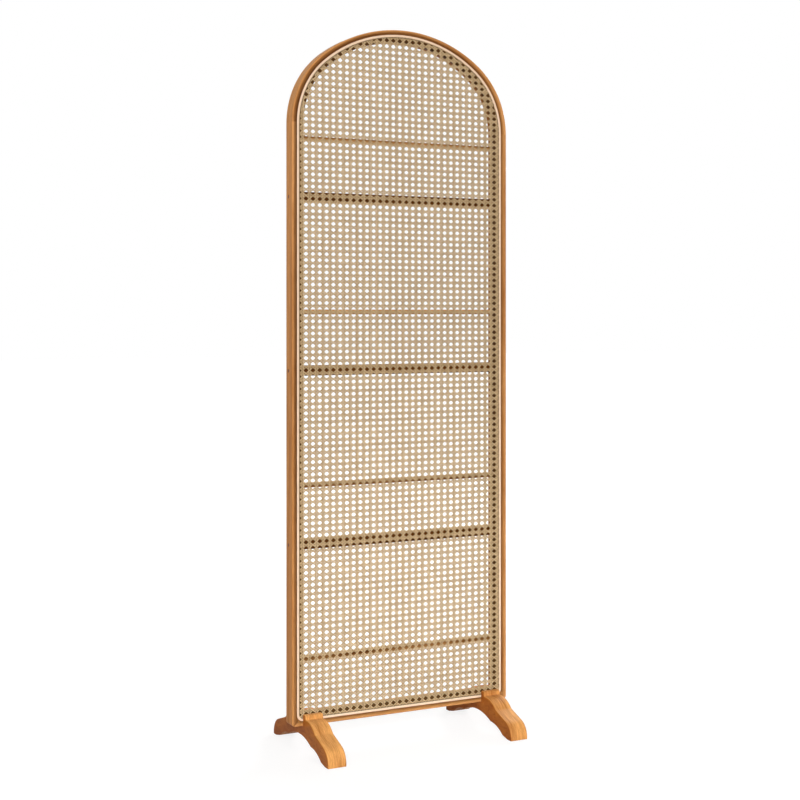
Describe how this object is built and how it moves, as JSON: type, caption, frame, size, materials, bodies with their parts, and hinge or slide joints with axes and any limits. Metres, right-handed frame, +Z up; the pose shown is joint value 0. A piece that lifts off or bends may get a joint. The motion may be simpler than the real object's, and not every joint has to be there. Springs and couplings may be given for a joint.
{
  "type": "rattan room divider",
  "caption": "Free-standing arched room divider: a rounded wooden frame with open cane webbing held in a splined groove, back rails and slats, on bracket feet.",
  "frame": {"origin": "on the floor, under the middle of the panel and midway between toes and heels", "axes": "+X along the panel to the right seen from the cane side, -Y out of the cane side, +Z up"},
  "size_m": [0.605, 0.34, 1.7854],
  "materials": {
    "frame_wood": "satin lacquered solid wood",
    "rail_wood": "satin lacquered solid wood",
    "foot_wood": "satin lacquered solid wood",
    "cane": "bare split rattan",
    "reed": "bare round reed",
    "felt": "pressed felt",
    "dowel_wood": "bare beech",
    "plug_wood": "stained end grain",
    "screw_steel": "zinc plated",
    "bolt_steel": "zinc plated",
    "insert_brass": "turned brass"
  },
  "bodies": {
    "root": {"left_stile": "frame_wood", "right_stile": "frame_wood", "arch_rail": "frame_wood", "bottom_rail": "frame_wood", "lower_cross_rail": "rail_wood", "middle_cross_rail": "rail_wood", "upper_cross_rail": "rail_wood", "bottom_slat": "rail_wood", "lower_slat": "rail_wood", "middle_slat": "rail_wood", "upper_slat": "rail_wood", "cane_uprights": "cane", "cane_rising_diagonals": "cane", "cane_falling_diagonals": "cane", "cane_levels": "cane", "cane_hem": "cane", "locking_spline": "reed", "left_foot": "foot_wood", "right_foot": "foot_wood", "foot_pads": "felt", "arch_dowels": "dowel_wood", "corner_dowels": "dowel_wood", "rail_screws": "screw_steel", "screw_plugs": "plug_wood", "foot_bolts": "bolt_steel", "foot_washers": "bolt_steel", "foot_inserts": "insert_brass"}
  },
  "joints": []
}
